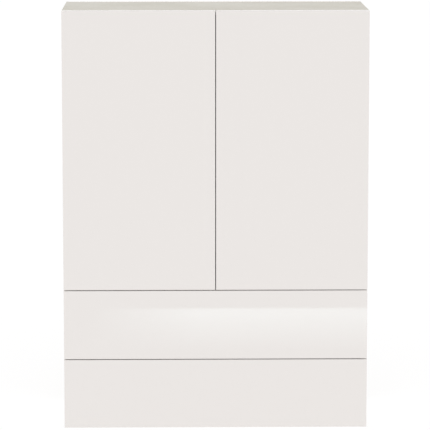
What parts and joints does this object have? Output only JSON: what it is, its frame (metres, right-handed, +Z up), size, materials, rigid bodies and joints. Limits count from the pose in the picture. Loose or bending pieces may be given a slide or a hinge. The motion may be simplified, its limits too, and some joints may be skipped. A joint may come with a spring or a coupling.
{
  "type": "cabinet with doors and drawers",
  "caption": "Tall free-standing storage cabinet with plain handleless push-to-open doors over full-width drawers, adjustable shelves inside, ball-bearing runners and concealed hinges.",
  "frame": {"origin": "bottom centre of the overall box, on the floor under the middle of the cabinet", "axes": "+Z up, +X to the right seen from the front, +Y to the rear; the doors and drawers face -Y"},
  "size_m": [0.92, 0.4, 1.275],
  "materials": {
    "gloss_white_fronts": "high gloss lacquer on board",
    "top_panel_lacquer": "satin lacquer on board",
    "white_melamine_board": "smooth melamine",
    "white_hardboard": "painted hardboard",
    "drawer_hardboard": "painted hardboard",
    "drawer_board": "foil-wrapped board",
    "beech_dowel": "raw beech",
    "white_plastic": "fine matt texture",
    "grey_plastic": "smooth moulded",
    "black_plastic": "smooth moulded",
    "zinc_cam": "die-cast zinc",
    "zinc_screw": "zinc plated",
    "nickel_steel": "nickel plated"
  },
  "bodies": {
    "cabinet": {"left_side_panel": "white_melamine_board", "right_side_panel": "white_melamine_board", "top_panel": "top_panel_lacquer", "middle_panel": "white_melamine_board", "bottom_panel": "white_melamine_board", "upper_back_panel": "white_hardboard", "lower_back_panel": "white_hardboard", "back_panel_joiner": "white_plastic", "upper_shelf": "white_melamine_board", "lower_shelf": "white_melamine_board", "shelf_pins": "zinc_screw", "cam_locks": "zinc_cam", "cam_bolts": "zinc_screw", "wood_dowels": "beech_dowel", "glides": "white_plastic", "hinge_mounting_plates": "nickel_steel", "hinge_arms": "nickel_steel", "hinge_plate_screws": "zinc_screw", "hinge_adjusting_screws": "zinc_screw", "latch_housings": "white_plastic", "latch_screws": "zinc_screw", "wall_brackets": "nickel_steel", "wall_bracket_screws": "zinc_screw", "upper_runner_outer": "nickel_steel", "lower_runner_outer": "nickel_steel", "runner_screws": "zinc_screw"},
    "left_door": {"left_door_panel": "gloss_white_fronts", "left_hinge_cups": "nickel_steel", "left_hinge_pins": "zinc_screw", "left_cup_screws": "zinc_screw", "left_latch_plate": "nickel_steel"},
    "right_door": {"right_door_panel": "gloss_white_fronts", "right_hinge_cups": "nickel_steel", "right_hinge_pins": "zinc_screw", "right_cup_screws": "zinc_screw", "right_latch_plate": "nickel_steel"},
    "left_plunger": {"left_latch_plunger": "grey_plastic"},
    "right_plunger": {"right_latch_plunger": "grey_plastic"},
    "upper_drawer": {"upper_drawer_front": "gloss_white_fronts", "upper_drawer_left_side": "drawer_board", "upper_drawer_right_side": "drawer_board", "upper_drawer_back": "drawer_board", "upper_drawer_bottom": "drawer_hardboard", "upper_runner_inner": "nickel_steel", "upper_drawer_cams": "zinc_cam", "upper_drawer_runner_screws": "zinc_screw"},
    "upper_runner_middles": {"upper_runner_middle": "nickel_steel"},
    "upper_outer_cages": {"upper_outer_ball_cages": "black_plastic"},
    "upper_inner_cages": {"upper_inner_ball_cages": "black_plastic"},
    "lower_drawer": {"lower_drawer_front": "gloss_white_fronts", "lower_drawer_left_side": "drawer_board", "lower_drawer_right_side": "drawer_board", "lower_drawer_back": "drawer_board", "lower_drawer_bottom": "drawer_hardboard", "lower_runner_inner": "nickel_steel", "lower_drawer_cams": "zinc_cam", "lower_drawer_runner_screws": "zinc_screw"},
    "lower_runner_middles": {"lower_runner_middle": "nickel_steel"},
    "lower_outer_cages": {"lower_outer_ball_cages": "black_plastic"},
    "lower_inner_cages": {"lower_inner_ball_cages": "black_plastic"}
  },
  "joints": [
    {"name": "left_door_hinge", "type": "hinge", "parent": "cabinet", "child": "left_door", "pos_m": [-0.453, -0.1925, 0.8525], "axis": [0, 0, -1], "range_deg": [0, 100]},
    {"name": "right_door_hinge", "type": "hinge", "parent": "cabinet", "child": "right_door", "pos_m": [0.453, -0.1925, 0.8525], "axis": [0, 0, 1], "range_deg": [0, 100]},
    {"name": "left_latch_push", "type": "slide", "parent": "cabinet", "child": "left_plunger", "axis": [0, -1, 0], "range_m": [0, 0.014]},
    {"name": "right_latch_push", "type": "slide", "parent": "cabinet", "child": "right_plunger", "axis": [0, -1, 0], "range_m": [0, 0.014]},
    {"name": "upper_drawer_slide", "type": "slide", "parent": "cabinet", "child": "upper_drawer", "axis": [0, -1, 0], "range_m": [-0.002, 0.34]},
    {"name": "upper_middle_slide", "type": "slide", "parent": "cabinet", "child": "upper_runner_middles", "axis": [0, -1, 0], "range_m": [-0.001, 0.17]},
    {"name": "upper_outer_cage_slide", "type": "slide", "parent": "cabinet", "child": "upper_outer_cages", "axis": [0, -1, 0], "range_m": [-0.0005, 0.085]},
    {"name": "upper_inner_cage_slide", "type": "slide", "parent": "cabinet", "child": "upper_inner_cages", "axis": [0, -1, 0], "range_m": [-0.0015, 0.255]},
    {"name": "lower_drawer_slide", "type": "slide", "parent": "cabinet", "child": "lower_drawer", "axis": [0, -1, 0], "range_m": [-0.002, 0.34]},
    {"name": "lower_middle_slide", "type": "slide", "parent": "cabinet", "child": "lower_runner_middles", "axis": [0, -1, 0], "range_m": [-0.001, 0.17]},
    {"name": "lower_outer_cage_slide", "type": "slide", "parent": "cabinet", "child": "lower_outer_cages", "axis": [0, -1, 0], "range_m": [-0.0005, 0.085]},
    {"name": "lower_inner_cage_slide", "type": "slide", "parent": "cabinet", "child": "lower_inner_cages", "axis": [0, -1, 0], "range_m": [-0.0015, 0.255]}
  ],
  "couplings": [
    {"joint": "left_latch_push", "follows": "left_door_hinge", "m_per_rad": 0.00802},
    {"joint": "right_latch_push", "follows": "right_door_hinge", "m_per_rad": 0.00802},
    {"joint": "upper_middle_slide", "follows": "upper_drawer_slide", "ratio": 0.5},
    {"joint": "upper_outer_cage_slide", "follows": "upper_drawer_slide", "ratio": 0.25},
    {"joint": "upper_inner_cage_slide", "follows": "upper_drawer_slide", "ratio": 0.75},
    {"joint": "lower_middle_slide", "follows": "lower_drawer_slide", "ratio": 0.5},
    {"joint": "lower_outer_cage_slide", "follows": "lower_drawer_slide", "ratio": 0.25},
    {"joint": "lower_inner_cage_slide", "follows": "lower_drawer_slide", "ratio": 0.75}
  ]
}
